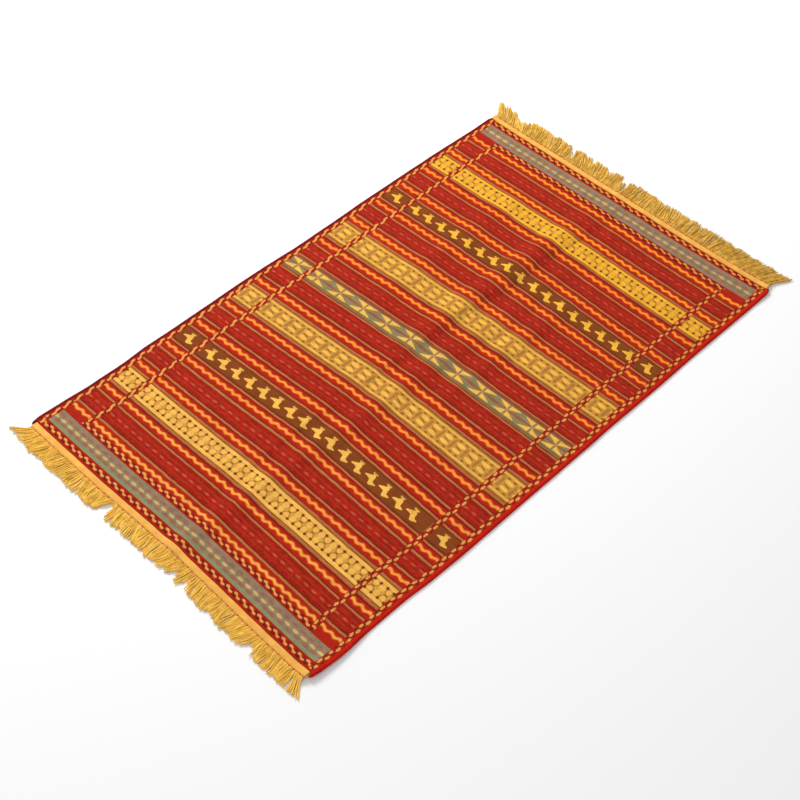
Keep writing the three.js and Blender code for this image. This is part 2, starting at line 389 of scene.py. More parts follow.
def fold(x, y):
    """Height of the fold line over the cloth: one narrow crest that follows its own line."""
    place = soft_line(FOLD_STATIONS, FOLD_PLACES, x)
    return soft_line(FOLD_STATIONS, FOLD_HEIGHTS, x) * crest(y - place, FOLD_HALF_WIDTH)


def bow(x, y):
    """How far the band woven at x is shifted along X at y: its lead at the centre line, less the
    trail on that side times a distance from the centre line that starts softly."""

    def softened(distance):
        return np.sqrt(distance**2 + BOW_SOFTNESS**2) - BOW_SOFTNESS

    lead = soft_line(BOW_STATIONS, BOW_LEADS, x)
    far = soft_line(BOW_STATIONS, BOW_TRAILS[1], x)
    near = soft_line(BOW_STATIONS, BOW_TRAILS[-1], x)
    return lead - np.where(y > 0, far, near) * softened(np.abs(y)) / softened(WIDTH / 2)


def end_wave(y, end):
    """How far the cloth's end stands out past its straight line: a low sine wave."""
    return END_WAVE_HEIGHT * np.sin(2 * np.pi * y / END_WAVE_LENGTH + end)


def end_reach(y, end):
    """Distance from the origin to the cloth's end at y: half the length, its wave and its bow."""
    return LENGTH / 2 + end_wave(y, end) + end * bow(end * LENGTH / 2, y)


def roll_share(flat_y):
    """Share of the way over the rolled selvedge: 0 where it starts and 1 at the edge."""
    return np.clip((np.abs(flat_y) - ROLL_START) / (WIDTH / 2 - ROLL_START), 0, 1)


def outline_point(flat_x, flat_y):
    """A point of the flat rectangle moved onto the rug's outline: the corner squares are pressed
    into quarter circles, and the edges follow their waves."""
    a = np.clip((np.abs(flat_x) - LENGTH / 2 + CORNER_RADIUS) / CORNER_RADIUS, 0, None)
    b = np.clip((np.abs(flat_y) - WIDTH / 2 + CORNER_RADIUS) / CORNER_RADIUS, 0, None)
    end, side = np.sign(flat_x), np.sign(flat_y)
    x = flat_x - end * CORNER_RADIUS * a * (1 - np.sqrt(1 - b * b / 2))
    y = flat_y - side * CORNER_RADIUS * b * (1 - np.sqrt(1 - a * a / 2))
    far = soft_line(EDGE_STATIONS, EDGE_WAVES[1], flat_x)
    near = soft_line(EDGE_STATIONS, EDGE_WAVES[-1], flat_x)
    wave = np.where(side > 0, far, near)
    moved_x = x + end * np.abs(x) / (LENGTH / 2) * end_wave(flat_y, end)
    moved_y = y + side * np.abs(y) / (WIDTH / 2) * wave
    run = sum(reach * (end == key[0]) * (side == key[1]) for key, reach in SELVEDGE_RUNS.items())
    near_end = np.clip((np.abs(flat_x) - LENGTH / 2 + RUN_SOFTNESS) / RUN_SOFTNESS, 0, 1)
    outer = near_end * np.clip((np.abs(flat_y) - ROLL_START) / RUN_STEP, 0, 1)
    bulge = ROLL_BULGE * (side < 0) * roll_share(flat_y)
    return moved_x + bow(flat_x, flat_y) + end * run * outer, moved_y + side * bulge


def roll(flat_y):
    """Height of the rolled selvedge: the square root of a half sine across it."""
    return ROLL_HEIGHT * np.sqrt(np.sin(np.pi * roll_share(flat_y)).clip(0))


def unevenness(x, y):
    """Slow small waves in the cloth: three sines of different directions and lengths."""
    first = np.sin(x / 19 + y / 47)
    second = np.sin(y / 23 - x / 61 + 1.3)
    third = np.sin(x / 8.5 - y / 31 + 0.4)
    return 0.22 * first + 0.2 * second + 0.1 * third


def make_mesh(name, points, face_groups, smooth=True):
    """A mesh object from an array of points in millimetres and arrays of faces, one array for
    each number of corners."""
    mesh = bpy.data.meshes.new(name)
    corners = np.concatenate([faces.ravel() for faces in face_groups]).astype(np.int32)
    sizes = np.concatenate([np.full(len(faces), faces.shape[1]) for faces in face_groups])
    starts = np.concatenate([[0], np.cumsum(sizes)[:-1]]).astype(np.int32)
    mesh.vertices.add(len(points))
    mesh.vertices.foreach_set("co", (np.asarray(points) * MM).astype(np.float32).ravel())
    mesh.loops.add(len(corners))
    mesh.loops.foreach_set("vertex_index", corners)
    mesh.polygons.add(len(sizes))
    mesh.polygons.foreach_set("loop_start", starts)
    mesh.polygons.foreach_set("use_smooth", np.full(len(sizes), smooth))
    mesh.update(calc_edges=True)
    piece = bpy.data.objects.new(name, mesh)
    bpy.context.scene.collection.objects.link(piece)
    return piece


def finish_piece(piece, material, slot, *nodes):
    """Gives a piece its material if one is passed, puts it on the rug's body and hides the CAD nodes
    that it stands for."""
    if material:
        piece.data.materials.append(material)
    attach(piece, "root")
    if nodes:
        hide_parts(*nodes)


class Quantity:
    """A number that varies over a surface, worked out by Math nodes, so that a pattern can be
    written as a formula."""

    def __init__(self, tree, socket):
        self.tree = tree
        self.socket = socket

    def math(self, operation, *others, clamp=False):
        node = self.tree.nodes.new("ShaderNodeMath")
        node.operation = operation
        node.use_clamp = clamp
        for entry, value in zip(node.inputs, (self, *others)):
            if isinstance(value, Quantity):
                self.tree.links.new(value.socket, entry)
            else:
                entry.default_value = value
        return Quantity(self.tree, node.outputs[0])

    def __add__(self, other):
        return self.math("ADD", other)

    def __sub__(self, other):
        return self.math("SUBTRACT", other)

    def __mul__(self, other):
        return self.math("MULTIPLY", other)

    def __abs__(self):
        return self.math("ABSOLUTE")

    def sine(self):
        return self.math("SINE")

    def to_nearest(self, pitch, shift=0.0):
        """Signed distance to the nearest whole number of pitches, plus the shift."""
        return (self - shift).math("WRAP", pitch / 2, -pitch / 2)

    def stepped(self, step):
        """The middle of the thread that the value falls on."""
        return self.math("SNAP", step) + step / 2

    def under(self, edge, soft=0.5):
        """1 where the value is below the edge and 0 above it, with a soft change between."""
        return (self - edge).math("MULTIPLY_ADD", -1 / soft, 0.5, clamp=True)

    def over(self, edge, soft=0.5):
        """1 where the value is above the edge and 0 below it, with a soft change between."""
        return (self - edge).math("MULTIPLY_ADD", 1 / soft, 0.5, clamp=True)

    def near(self, reach, soft=0.5):
        """1 within the reach on both sides of nought."""
        return abs(self).under(reach, soft)

    def beyond(self, reach, soft=0.5):
        """1 further than the reach from nought."""
        return self.near(reach, soft) * -1.0 + 1.0

    def limited(self):
        """The value held between 0 and 1."""
        return self.math("ADD", 0.0, clamp=True)


def either(*shapes):
    """The union of shapes: the largest of their values."""
    joined = shapes[0]
    for shape in shapes[1:]:
        joined = joined.math("MAXIMUM", shape)
    return joined


def oval(across, along, half_across, half_along):
    """1 inside an ellipse: the sum of the squared shares of its two half-widths is below one."""
    share_across = (across * (1 / half_across)).math("POWER", 2.0)
    share_along = (along * (1 / half_along)).math("POWER", 2.0)
    return (share_across + share_along).under(1.0, 0.35)


def stroke(across, along, start, stop, thick_start, thick_stop):
    """1 inside a tapering stroke: the distance to the nearest point of a line is below a reach
    that changes evenly from its start to its stop."""
    run = (stop[0] - start[0], stop[1] - start[1])
    square = run[0] ** 2 + run[1] ** 2
    x, y = across - start[0], along - start[1]
    share = (x * (run[0] / square) + y * (run[1] / square)).limited()
    off_x = x - share * run[0]
    off_y = y - share * run[1]
    distance = (off_x * off_x + off_y * off_y).math("SQRT")
    return (distance - share * (thick_stop - thick_start)).under(thick_start, 0.6)


class Finish:
    """The nodes of one material: its shader, and what brings colours and heights to it."""

    def __init__(self, name):
        self.material = bpy.data.materials.new(name)
        self.material.use_nodes = True
        self.tree = self.material.node_tree
        self.shader = self.tree.nodes["Principled BSDF"]

    def parts(self, vector):
        """The X and Y parts of a vector."""
        node = self.tree.nodes.new("ShaderNodeSeparateXYZ")
        self.tree.links.new(vector, node.inputs[0])
        return Quantity(self.tree, node.outputs[0]), Quantity(self.tree, node.outputs[1])

    def object_place(self):
        """The place on the rug, in metres."""
        return self.tree.nodes.new("ShaderNodeTexCoord").outputs["Object"]

    def attribute(self, name):
        """A number that the mesh carries at its points."""
        node = self.tree.nodes.new("ShaderNodeAttribute")
        node.attribute_name = name
        return Quantity(self.tree, node.outputs["Fac"])

    def noise(self, place, scale, detail, dimensions="3D"):
        """Smooth noise from 0 to 1."""
        node = self.tree.nodes.new("ShaderNodeTexNoise")
        node.noise_dimensions = dimensions
        node.inputs["Scale"].default_value = scale
        node.inputs["Detail"].default_value = detail
        self.tree.links.new(place, node.inputs["Vector"])
        return Quantity(self.tree, node.outputs["Fac"])

    def mix(self, share, first, second):
        """The first colour, and the second one where the share is 1."""
        node = self.tree.nodes.new("ShaderNodeMix")
        node.data_type = "RGBA"
        self.tree.links.new(share.socket, node.inputs["Factor"])
        for entry, colour in zip(node.inputs[6:8], (first, second)):
            if isinstance(colour, bpy.types.NodeSocket):
                self.tree.links.new(colour, entry)
            else:
                entry.default_value = (*colour, 1.0)
        return node.outputs[2]

    def connect(self, colour, height, bump_strength, roughness, specular, sheen):
        """Brings a colour and a height in metres to the shader and sets its gloss."""
        self.tree.links.new(colour, self.shader.inputs["Base Color"])
        bump = self.tree.nodes.new("ShaderNodeBump")
        bump.inputs["Strength"].default_value = bump_strength
        bump.inputs["Distance"].default_value = 1.0
        self.tree.links.new(height.socket, bump.inputs["Height"])
        self.tree.links.new(bump.outputs[0], self.shader.inputs["Normal"])
        self.shader.inputs["Roughness"].default_value = roughness
        self.shader.inputs["Specular IOR Level"].default_value = specular
        self.shader.inputs["Sheen Weight"].default_value = sheen
        return self.material


class Weave(Finish):
    """One woven finish. It starts from a ground dye, and shapes are painted on it in the band's
    own millimetres, across and along, each as high as its yarn stands up."""

    warp_pitch = 2.0
    weft_pitch = 1.0
    # How far a pattern sways across and along its band, where its outlines are not quite straight
    sway_across = 2.2
    sway_along = 2.6
    # How strongly the painted shade of the crease and the painted light and shade of the ribs and the
    # rows change the wool, and how far a rib bends the rows, in radians of their wave
    crease_shade, rib_shade, row_shade = -0.34, 0.03, 0.05
    row_bend = 1.6
    # Uneven dyeing: waves for each millimetre along X and along Y, detail, and how much it shades
    streaks = (0.5, 0.04, 2.0, 0.62)
    mottle = (1 / 34, 1 / 26, 3.0, 0.36)
    fuzz = (0.8, 0.35, 2.0, 0.5)
    # Heights of the ribs, the rows and the fuzz in millimetres
    rib_height, row_height, fuzz_height = 0.16, 0.1, 0.35

    def __init__(self, name, dyes, ground):
        super().__init__(name)
        self.dyes = dyes
        self.thread_x, self.thread_y = self.place_on("ThreadMap")
        across, along = self.place_on("BandMap")
        waver = self.flat_noise(self.thread_x, self.thread_y, 1 / 16, 1 / 16, 1.0)
        stray = self.flat_noise(self.thread_y, self.thread_x, 1 / 11, 1 / 11, 1.0)
        self.across = (across + (waver - 0.5) * self.sway_across).stepped(self.weft_pitch)
        self.along = (along + (stray - 0.5) * self.sway_along).stepped(self.warp_pitch / 2)
        self.colour = self.dye(ground)
        self.relief = self.across * 0.0

    def place_on(self, map_name):
        """The two parts of a place on one of the cloth's maps, in millimetres."""
        node = self.tree.nodes.new("ShaderNodeUVMap")
        node.uv_map = map_name
        return self.parts(node.outputs["UV"])

    def flat_noise(self, x, y, scale_x, scale_y, detail):
        """Noise on the cloth, stretched by its two scales in waves for each millimetre."""
        place = self.tree.nodes.new("ShaderNodeCombineXYZ")
        self.tree.links.new((x * scale_x).socket, place.inputs[0])
        self.tree.links.new((y * scale_y).socket, place.inputs[1])
        return self.noise(place.outputs[0], 1.0, detail, "2D")

    def dye(self, colour):
        """A dye's colour from its name. A colour that nodes have worked out stays as it is."""
        return getattr(self.dyes, colour)[:] if isinstance(colour, str) else colour

    def fade(self, colour, amount=1.0):
        """The dye, paler by up to two fifths of the amount towards the rug's -X end."""
        share = self.thread_x * (-0.4 * amount / LENGTH) + 0.2 * amount
        return self.mix(share.limited(), self.dye(colour), self.dye("faded"))

    def paint(self, shape, colour, height=0.0, strength=1.0):
        """Lays a dye over what is there, where the shape is 1."""
        if strength < 1.0:
            shape = shape * strength
        self.colour = self.mix(shape, self.colour, self.dye(colour))
        if height:
            self.relief = self.relief + shape * height

    def dashes(self, column, pitch, shift, half_across, half_along):
        """A column of ovals along the band, one to each pitch."""
        place = self.along.to_nearest(pitch, shift)
        return oval(self.across - column, place, half_across, half_along)

    def finish(self):
        """Adds the threads with their painted light and shade, the painted shade of the crease, the
        uneven dyeing and the relief, and connects the shader.
        """
        # Ribs and rows are painted lighter on their crests and darker in their hollows: painted light
        # and shade of the threads
        ribs = (self.thread_y * (2 * math.pi / self.warp_pitch)).sine()
        rows = (self.thread_x * (2 * math.pi / self.weft_pitch) + ribs * self.row_bend).sine()
        # Painted shade: a thin dark line along the foot of the fold, coming in from FOOT_START towards
        # +X
        foot = (self.thread_y - self.thread_x * FOOT_SLOPE - FOOT_PLACE).near(FOOT_HALF, FOOT_SOFTNESS)
        crease = foot * self.thread_x.over(FOOT_START, FOOT_RUN_IN)
        shade = crease * self.crease_shade + ribs * self.rib_shade + rows * self.row_shade
        for scale_x, scale_y, detail, strength in (self.streaks, self.mottle, self.fuzz):
            uneven = self.flat_noise(self.thread_x, self.thread_y, scale_x, scale_y, detail) - 0.5
            shade = shade + uneven * strength
        scaled = self.tree.nodes.new("ShaderNodeVectorMath")
        scaled.operation = "SCALE"
        self.tree.links.new(self.colour, scaled.inputs[0])
        self.tree.links.new((shade + 1.0).socket, scaled.inputs["Scale"])
        relief = self.relief + ribs * self.rib_height + rows * self.row_height
        # The last unevenness, the fuzz, also stands up from the surface
        height = (relief + uneven * self.fuzz_height) * MM
        return self.connect(
            scaled.outputs[0], height, bump_strength=0.7, roughness=0.92, specular=0.06, sheen=0.02,
        )


def plain_finish(dyes):
    """Plain red wool of the selvedges and margins, with painted shade along the +Y edge and a brighter
    scarlet along the other."""
    outer_thread = 379.8
    weave = Weave("plain_red_wool", dyes, "red")
    # Painted shade: the +Y rolled selvedge in maroon, darkest on its outermost threads
    weave.paint(weave.thread_y.over(ROLL_START, 0.8), "maroon", strength=0.8)
    weave.paint(weave.thread_y.over(outer_thread, 1.2), "maroon", strength=0.9)
    weave.paint(weave.thread_y.under(-ROLL_START, 0.8), "scarlet", strength=0.75)
    return weave.finish()


def rope_finish(name, dyes):
    """A twisted rope: pairs of cream dashes in two rows, the second a little further along and
    joined to the first by a slanting link, with dark spots between the pairs."""
    rope = ROPES[name]
    weave = Weave(f"{name}_wool", dyes, "red")
    pitch, shift, lag = rope["pitch"], rope["shift"], rope["lag"]
    cream = weave.fade("cream", 0.5)
    weave.paint(weave.across.beyond(ROPE_EDGE, 1.0), "maroon", strength=0.35)
    for column, along, *halves in rope["spots"]:
        weave.paint(weave.dashes(column, pitch, shift + along, *halves), "dark", strength=0.8)
    dashes = [
        weave.dashes(row, pitch, shift + behind, DASH_REACH, rope["half"])
        for row, behind in ((-DASH_ROW, -lag), (DASH_ROW, lag))
    ]
    if rope["link"]:
        place = weave.along.to_nearest(pitch, shift)
        start, stop = (-LINK_END, -lag), (LINK_END, lag)
        dashes.append(stroke(weave.across, place, start, stop, rope["link"], rope["link"]))
    weave.paint(either(*dashes), cream, 0.4, strength=rope["shade"])
    return weave.finish()


def zigzag_finish(dyes):
    """An orange zigzag with rounded turns on red, yellower towards both ends of the rug."""
    swing_reach, line_half, core_half = 1.8, 3.1, 1.1
    yellower_from = 430.0
    weave = Weave("zigzag_wool", dyes, "red")
    swing = (weave.along * (2 * math.pi / WEAVE_PITCH)).math("COSINE") * swing_reach
    line = weave.across - swing
    glow = abs(weave.thread_x).over(yellower_from, 60.0) * 0.45 + 0.12
    weave.paint(weave.across.under(-3.0, 3.0), "scarlet", strength=0.18)
    weave.paint(weave.across.over(9.0, 1.6), "maroon", strength=0.75)
    weave.paint(weave.across.under(-10.4, 1.2), "maroon", strength=0.4)
    weave.paint(line.near(5.0, 1.8), "orange", strength=0.12)
    weave.paint(line.near(line_half, 1.6), weave.fade("orange", 0.5), 0.35)
    weave.paint(line.near(core_half, 1.8) * glow, weave.fade("yellow"), 0.1)
    return weave.finish()


def tan_finish(dyes):
    """A narrow tan stripe with beaded ticks between a maroon and a dark line."""
    tick_pitch, slant, stripe_half = 2.6, 0.6, 2.1
    weave = Weave("tan_stripe_wool", dyes, "maroon")
    ticks = (weave.along + weave.across * slant).to_nearest(tick_pitch)
    stripe = weave.across + 0.4
    weave.paint(weave.across.over(1.8, 1.0), "dark", -0.1, strength=0.45)
    weave.paint(weave.across.over(3.2, 0.8), "red", strength=0.5)
    weave.paint(weave.across.under(-3.2, 0.8), "red", strength=0.7)
    weave.paint(stripe.near(stripe_half, 1.2), "tan", 0.3)
    weave.paint(stripe.near(2.0, 1.2) * ticks.near(0.55, 0.5), "brown", -0.1, strength=0.35)
    return weave.finish()


def brown_line_finish(dyes):
    """A wider stripe beside the yellow bands: sand with a brown thread in it and dark edges."""
    tick_pitch, slant, sand_half = 2.8, 0.6, 2.1
    weave = Weave("brown_line_wool", dyes, "sand")
    ticks = (weave.along - weave.across * slant).to_nearest(tick_pitch)
    weave.paint((weave.across + 0.4).near(0.6, 0.9), "brown", -0.1, strength=0.6)
    weave.paint(ticks.near(0.6, 0.5), "brown", -0.1, strength=0.3)
    weave.paint(weave.across.beyond(sand_half, 1.2), "brown", -0.15, strength=0.85)
    weave.paint(weave.across.beyond(3.0, 1.0), "maroon", -0.1, strength=0.75)
    return weave.finish()


def field_finish(dyes):
    """Red with a column of tan dashes between two columns of dark ones, and faint dark rows."""
    pitch, margin = WEAVE_PITCH, 15.6
    weave = Weave("field_wool", dyes, "red")
    broken = weave.flat_noise(weave.thread_x, weave.thread_y, 0.12, 0.11, 1.0)
    for column in (-13.2, -4.8, 4.8, 13.2):
        row = (weave.across - column).near(0.9, 1.0) * broken.over(0.46, 0.1)
        weave.paint(row, "maroon", strength=0.75)
    for column in (-9.0, 9.0):
        weave.paint(weave.dashes(column, pitch, pitch / 2, 1.6, 5.8), "brown", 0.1, strength=0.6)
    middle = weave.dashes(0.0, pitch, 0.0, 1.8, 6.2)
    weave.paint(middle * (weave.thread_x * (-0.2 / LENGTH) + 0.5), "rose", 0.15)
    weave.paint(weave.across.beyond(margin, 1.2), "maroon", strength=0.6)
    return weave.finish()


def dotted_finish(dyes):
    """Yellow with two columns of dark dots. Brown lines run in from each four dots and cross in
    the middle, with a round blob on both sides of each crossing."""
    half_gap, blob_column, margin = 12.8, 6.4, 21.2
    weave = Weave("dotted_band_wool", dyes, "gold")
    yellow = weave.fade("amber")
    folded = abs(weave.across)
    blob_place = weave.along.to_nearest(DOT_PITCH)
    dot_place = weave.along.to_nearest(DOT_PITCH, DOT_PITCH / 2)
    crossing = weave.along.to_nearest(2 * DOT_PITCH, DOT_PITCH)
    weave.paint(folded.over(half_gap + 1.6, 1.4), yellow, 0.2)
    weave.paint(folded.under(half_gap + 2.0, 1.0), yellow, strength=0.3)
    weave.paint(oval(folded - blob_column, blob_place, 5.8, 6.2), yellow, 0.3, strength=0.9)
    weave.paint(weave.dashes(0.0, 2 * DOT_PITCH, 0.0, 5.0, 4.0), yellow, 0.2, strength=0.5)
    quarter = math.pi / 2
    curve = (weave.across * (math.pi / 17)).math("MINIMUM", quarter).math("MAXIMUM", -quarter)
    rise = curve.sine() * (DOT_PITCH / 2)
    inside = folded.under(half_gap, 1.0)
    rising = (crossing - rise).near(1.3, 1.8) * inside
    falling = (crossing + rise).near(1.2, 1.8) * inside
    weave.paint(rising, "brown", -0.1, strength=0.62)
    weave.paint(falling * (weave.thread_x.under(0.0) * 0.8 + 0.2), "brown", -0.1, strength=0.62)
    weave.paint(oval(weave.across, crossing, 2.4, 4.8), "brown", -0.1, strength=0.5)
    weave.paint(oval(folded - half_gap, dot_place, 3.2, 3.5), "brown", strength=0.55)
    weave.paint(oval(folded - half_gap, dot_place, 2.3, 2.8), "dark", -0.1, strength=0.8)
    weave.paint(folded.over(margin, 1.0), "brown", strength=0.5)
    return weave.finish()


# The bird, in strokes: start and stop across and along the band, and the reach at each. One bird
# is missing from the band at -X, between two places along Y.
BIRD_STROKES = (
    ((-0.8, 14.6), (1.2, 3.0), 1.5, 4.8),
    ((-9.4, -4.4), (2.2, -0.6), 4.2, 5.2),
    ((-9.0, -6.0), (-8.6, -14.4), 4.3, 1.6),
    ((3.6, -0.6), (9.4, 0.4), 4.4, 2.4),
    ((10.8, 4.6), (10.4, -3.8), 1.9, 1.8),
)
MISSING_BIRD = (-301.0, -281.0)


def birds_finish(dyes):
    """Small yellow birds in a row on brown, with one bird alone beside each inner rope."""
    first, last = MISSING_BIRD
    row_end, margin = 308.0, 17.4
    weave = Weave("bird_band_wool", dyes, "brown")
    place = weave.along.to_nearest(BIRD_PITCH)
    bird = either(*(stroke(weave.across - 0.6, place, *line) for line in BIRD_STROKES))
    empty = weave.thread_x.under(0.0) * weave.thread_y.under(last) * weave.thread_y.over(first)
    alone = either(abs(weave.thread_y).under(row_end), weave.along.near(BIRD_PITCH / 2))
    bird = bird * (empty * -1.0 + 1.0) * alone
    weave.paint(weave.across.beyond(margin, 1.5), "dark", strength=0.4)
    weave.paint(bird, weave.fade("yellow"), 0.35, strength=0.96)
    weave.paint(bird * weave.across.over(9.0, 4.0), "brown", strength=0.3)
    return weave.finish()


def leaves_finish(dyes):
    """Pairs of yellow leaves on gold, with beads between them and dotted lines outside."""
    pitch, lean = LEAF_PITCH, 0.08
    dot_column, line_column, margin = 16.2, 21.2, 24.6
    weave = Weave("leaf_band_wool", dyes, "gold")
    yellow = weave.fade("yellow")
    folded = abs(weave.across)
    place = weave.along.to_nearest(pitch)
    dots = weave.along.to_nearest(pitch / 2, pitch / 4)
    weave.paint((folded - line_column).near(2.0, 1.4), yellow, 0.25, strength=0.8)
    weave.paint(weave.dashes(0.0, pitch, pitch / 2, 14.0, 2.8), "brown", strength=0.4)
    weave.paint(oval(weave.across - place * 0.25, place, 2.0, 7.5), "brown", strength=0.55)
    leaf = oval(weave.across - 7.9 - place * lean, place, 4.4, 10.6)
    other = oval(weave.across + 7.7 - place * lean, place, 4.3, 10.2)
    weave.paint(either(leaf, other), yellow, 0.4, strength=0.95)
    weave.paint(oval(folded - dot_column, dots, 2.1, 4.0), "brown", -0.1, strength=0.72)
    weave.paint(folded.over(margin, 1.0), "brown", strength=0.5)
    return weave.finish()


def flowers_finish(dyes):
    """Four-petalled yellow flowers on green, with a dull red lozenge between each two."""
    petal_spread, petal_edge, petal_end = 0.43, 13.4, 25.5
    whole_band = 30.0
    weave = Weave("flower_band_wool", dyes, "green")
    from_flower = abs(weave.along.to_nearest(FLOWER_PITCH))
    folded = abs(weave.across)
    petal = (folded - from_flower * petal_spread).over(1.0, 1.2) * folded.under(petal_edge, 1.2)
    petal = petal * from_flower.over(2.4, 1.0) * from_flower.under(petal_end, 2.0)
    lozenge = (folded - from_flower * 0.1).under(0.7, 1.0)
    weave.paint(folded.under(whole_band, 1.0), "brown", strength=0.26)
    weave.paint(weave.across.under(-14.6, 1.2), "brown", strength=0.5)
    weave.paint(weave.across.over(14.2, 1.2), "rose", strength=0.6)
    weave.paint(weave.across.over(15.2, 1.2), "maroon", strength=0.6)
    weave.paint(petal, weave.fade("yellow"), 0.35, strength=0.95)
    weave.paint(lozenge, "rose", 0.1, strength=0.8)
    weave.paint(lozenge, "maroon", strength=0.4)
    weave.paint(from_flower.under(2.2, 1.0) * folded.under(14.0, 1.0), "grey", strength=0.5)
    weave.paint(oval(folded, from_flower, 2.4, 4.4), "orange", 0.2, strength=0.5)
    return weave.finish()


def grey_finish(dyes):
    """The grey end band: yellow dashes between two columns of dull red, and at the rug's -X end
    a green edge."""
    pitch, green_edge = WEAVE_PITCH, -11.0
    weave = Weave("grey_band_wool", dyes, "grey")
    at_minus_x = weave.thread_x.under(0.0)
    weave.paint(weave.across.under(green_edge, 1.6) * at_minus_x, "green", strength=0.85)
    for column in (-7.4, 8.2):
        weave.paint(weave.dashes(column, pitch, pitch / 2, 3.3, 7.2), "red", 0.1, strength=0.4)
    weave.paint(weave.across.near(2.6, 1.6), "green", strength=0.4)
    middle = weave.dashes(0.0, pitch, 0.0, 2.9, 7.0)
    weave.paint(middle, weave.fade("yellow"), 0.2, strength=0.45)
    weave.paint(middle, "faded", strength=0.2)
    return weave.finish()


# The finish of each kind of band, in the order of the cloth's material slots
FINISHES = (
    ("plain", plain_finish),
    ("zigzag", zigzag_finish),
    ("tan", tan_finish),
    ("brown_line", brown_line_finish),
    ("field", field_finish),
    ("dotted", dotted_finish),
    ("birds", birds_finish),
    ("leaves", leaves_finish),
    ("flowers", flowers_finish),
    ("grey", grey_finish),
    *((name, lambda dyes, name=name: rope_finish(name, dyes)) for name in ROPES),
)
SLOTS = {kind: index for index, (kind, _) in enumerate(FINISHES)}


def lines_between(start, stop, rim_at_start, rim_at_stop):
    """Grid lines from one band edge up to the next: even cells, or closer ones at a rim."""
    if rim_at_start:
        return [start + step for step in ROUNDED_RIM]
    if rim_at_stop:
        return [start] + [stop - step for step in ROUNDED_RIM[:0:-1]]
    cells = math.ceil((stop - start) / COARSE_CELL)
    return [start + (stop - start) * index / cells for index in range(cells)]


def strips_across():
    """The strips from the -Y edge to the +Y edge, each as start, stop and kind."""
    half = [(here[0], after[0], here[1]) for here, after in zip(SIDE_STRIPS, SIDE_STRIPS[1:])]
    mirrored = [(-stop, -start, kind) for start, stop, kind in reversed(half)]
    return mirrored[:-1] + [(-half[0][1], half[0][1], half[0][2])] + half[1:]


def bands_along():
    """The bands from the -X end to the +X end, each as start, stop, kind and shift."""
    return [(here[0], after[0], here[1], here[2]) for here, after in zip(BANDS, BANDS[1:])]


def grid_lines(spans):
    """Coarse lines over all spans, and the number of the span that each cell lies in."""
    lines, owner = [], []
    for index, (start, stop, *_) in enumerate(spans):
        inner = lines_between(start, stop, index == 0, index == len(spans) - 1)
        lines += inner
        owner += [index] * len(inner)
    return np.array(lines + [spans[-1][1]]), np.array(owner)


def with_midpoints(lines):
    """The lines with one more halfway between each two."""
    fine = np.empty(2 * len(lines) - 1)
    fine[::2] = lines
    fine[1::2] = (lines[1:] + lines[:-1]) / 2
    return fine


def face_kind(band, strip):
    """Which finish a face has, where its pattern is centred, and whether its pattern runs along
    X, from the band and the strip that it lies in."""
    (x0, x1, band_kind, shift), (y0, y1, strip_kind) = band, strip
    band_centre, strip_centre = (x0 + x1) / 2, (y0 + y1) / 2
    rope = "far_rope" if strip_centre > 0 else "near_rope"
    inner = strip_kind in ("inner", "inner_rope")
    if strip_kind == "selvedge" or band_kind == "plain":
        return "plain", band_centre, strip_centre, False
    if strip_kind == "outer_rope":
        return rope, OUTER_ROPE_STARTS[rope], strip_centre, True
    if band_kind == "end_rope" or (band_kind == "inner_end_rope" and inner):
        return "end_rope", band_centre, shift, False
    if band_kind == "inner_end_rope":
        return "plain", band_centre, strip_centre, False
    if band_kind == "grey":
        return "grey", band_centre, shift, False
    if strip_kind == "inner_rope":
        return rope, INNER_ROPE_STARTS[rope], strip_centre, True
    if strip_kind == "inner":
        return band_kind, band_centre, shift, False
    return band_kind, band_centre, strip_centre, False


def swell_along(spans, lines, owner, kinds):
    """Height over the band's sunken edges at each line: the band's swell times the square root
    of a half sine across it."""
    owner = np.append(owner, owner[-1])
    start = np.array([span[0] for span in spans])[owner]
    stop = np.array([span[1] for span in spans])[owner]
    share = np.clip((lines - start) / (stop - start), 0, 1)
    height = np.array([BAND_SWELL.get(kind, 0.2) for kind in kinds])[owner]
    return height * np.sqrt(np.sin(np.pi * share).clip(0))


def rim_drop(flat_x, flat_y):
    """Share of the thickness that is left near the rim: a quarter circle over the outer
    millimetres, down to a third at the very edge."""
    inside = np.minimum(LENGTH / 2 - np.abs(flat_x), WIDTH / 2 - np.abs(flat_y))
    share = np.clip(inside / ROUNDED_RIM[-1], 0, 1)
    return 0.33 + 0.67 * np.sqrt(1 - (1 - share) ** 2)


